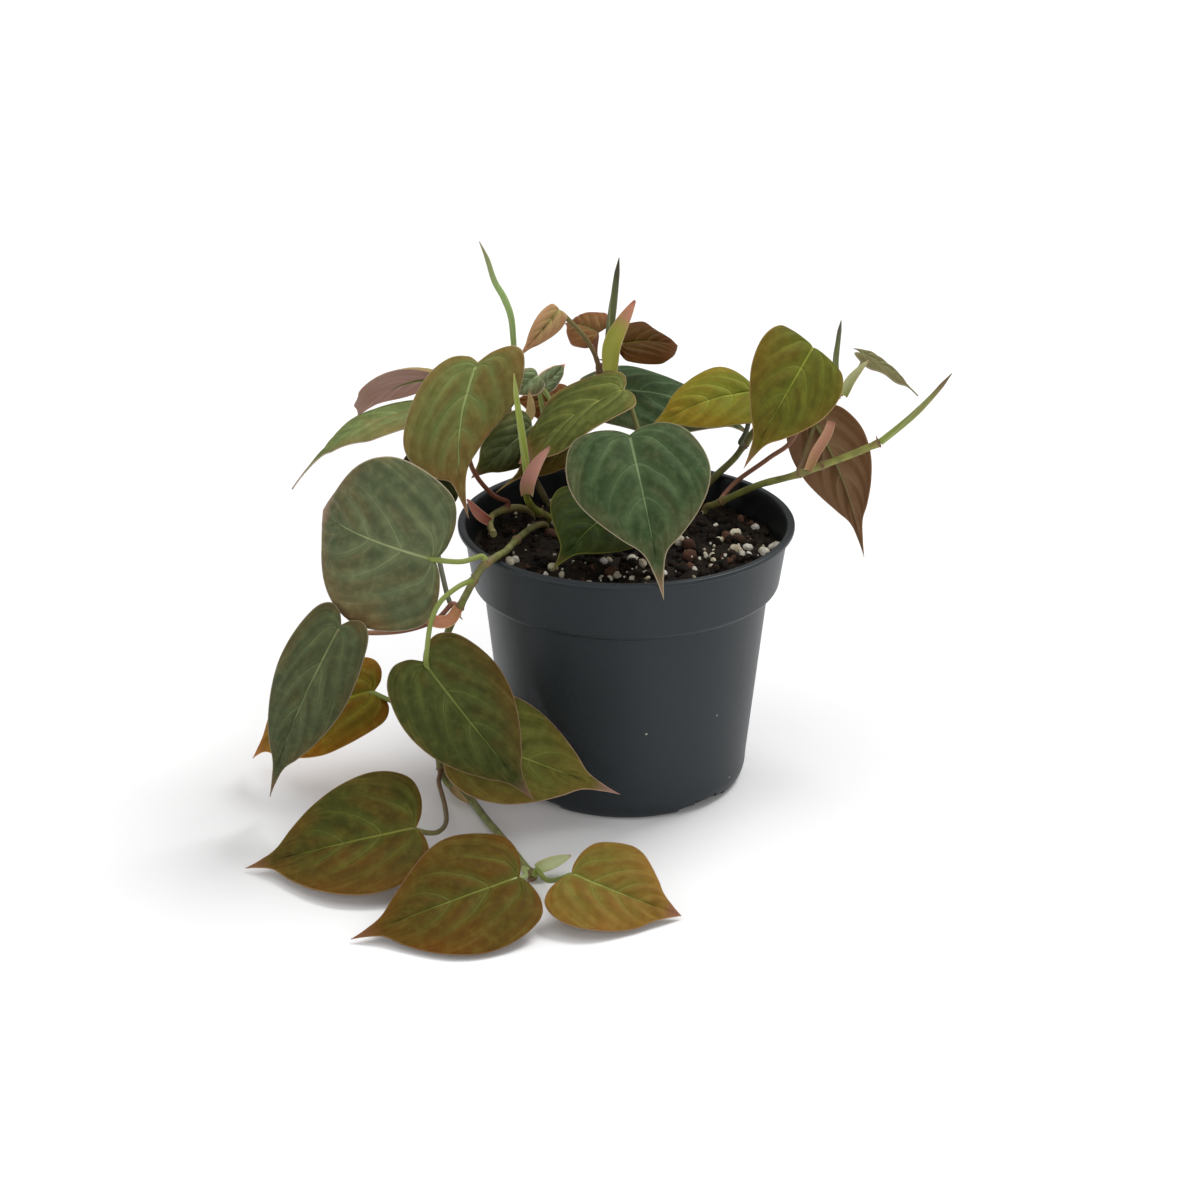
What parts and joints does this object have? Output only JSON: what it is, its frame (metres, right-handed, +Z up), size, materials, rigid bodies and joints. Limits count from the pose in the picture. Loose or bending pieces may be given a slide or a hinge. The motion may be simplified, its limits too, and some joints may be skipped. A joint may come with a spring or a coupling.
{
  "type": "potted philodendron",
  "caption": "Young climbing philodendron with velvety heart-shaped leaves on vines that trail over the rim of a round nursery pot.",
  "frame": {"origin": "on the pot's axis, at the level that the pot stands on; the underside of the pot's floor is 1.5 mm above it", "axes": "+Z up along the pot's axis; -Y is the front, where three leaves lie on the surface; +X is the right"},
  "size_m": [0.2282, 0.1941, 0.1733],
  "materials": {
    "pot_plastic": "satin dark blue-grey moulded plastic",
    "potting_mix": "moist dark brown peat and bark mix",
    "stem": "smooth green stem",
    "leaf": "velvety leaf with pale veins and a thin pinkish margin",
    "young_leaf": "rolled young leaf, light green",
    "sheath": "thin pink to yellow-green sheath"
  },
  "bodies": {
    "root": {"nursery_pot": "pot_plastic", "potting_mix": "potting_mix", "trailing_vine": "stem", "left_side_shoot": "stem", "front_shoot": "stem", "back_vine": "stem", "left_back_vine": "stem", "centre_vine": "stem", "right_vine": "stem", "right_back_vine": "stem", "leaf_front_centre": "leaf", "leaf_upper_left": "leaf", "leaf_left_round": "leaf", "leaf_low_left": "leaf", "leaf_low_left_back": "leaf", "leaf_front_left": "leaf", "leaf_beside_pot": "leaf", "leaf_floor_left": "leaf", "leaf_floor_centre": "leaf", "leaf_floor_right": "leaf", "leaf_centre_folded": "leaf", "leaf_centre_dark": "leaf", "leaf_centre_brown": "leaf", "leaf_back_brown": "leaf", "leaf_back_grey": "leaf", "leaf_far_left_pink": "leaf", "leaf_far_left_long": "leaf", "leaf_left_back_dark": "leaf", "leaf_back_centre": "leaf", "leaf_back_small": "leaf", "leaf_right_gold": "leaf", "leaf_right_heart": "leaf", "leaf_right_hanging": "leaf", "leaf_far_right_small": "leaf", "leaf_top_right": "leaf", "leaf_top_left": "leaf", "leaf_top_small": "leaf", "leaf_in_pot": "leaf", "rolled_leaf_upper_left": "young_leaf", "rolled_leaf_top": "young_leaf", "rolled_leaf_front": "young_leaf", "rolled_leaf_vine_end": "young_leaf", "rolled_leaf_right": "young_leaf", "sheath_left_pink": "sheath", "sheath_trailing_orange": "sheath", "sheath_front_pink": "sheath", "sheath_top": "sheath", "sheath_right_pink": "sheath", "sheath_far_right": "sheath", "sheath_floor_right": "sheath", "sheath_floor_left": "sheath", "sheath_back_left": "sheath"}
  },
  "joints": []
}
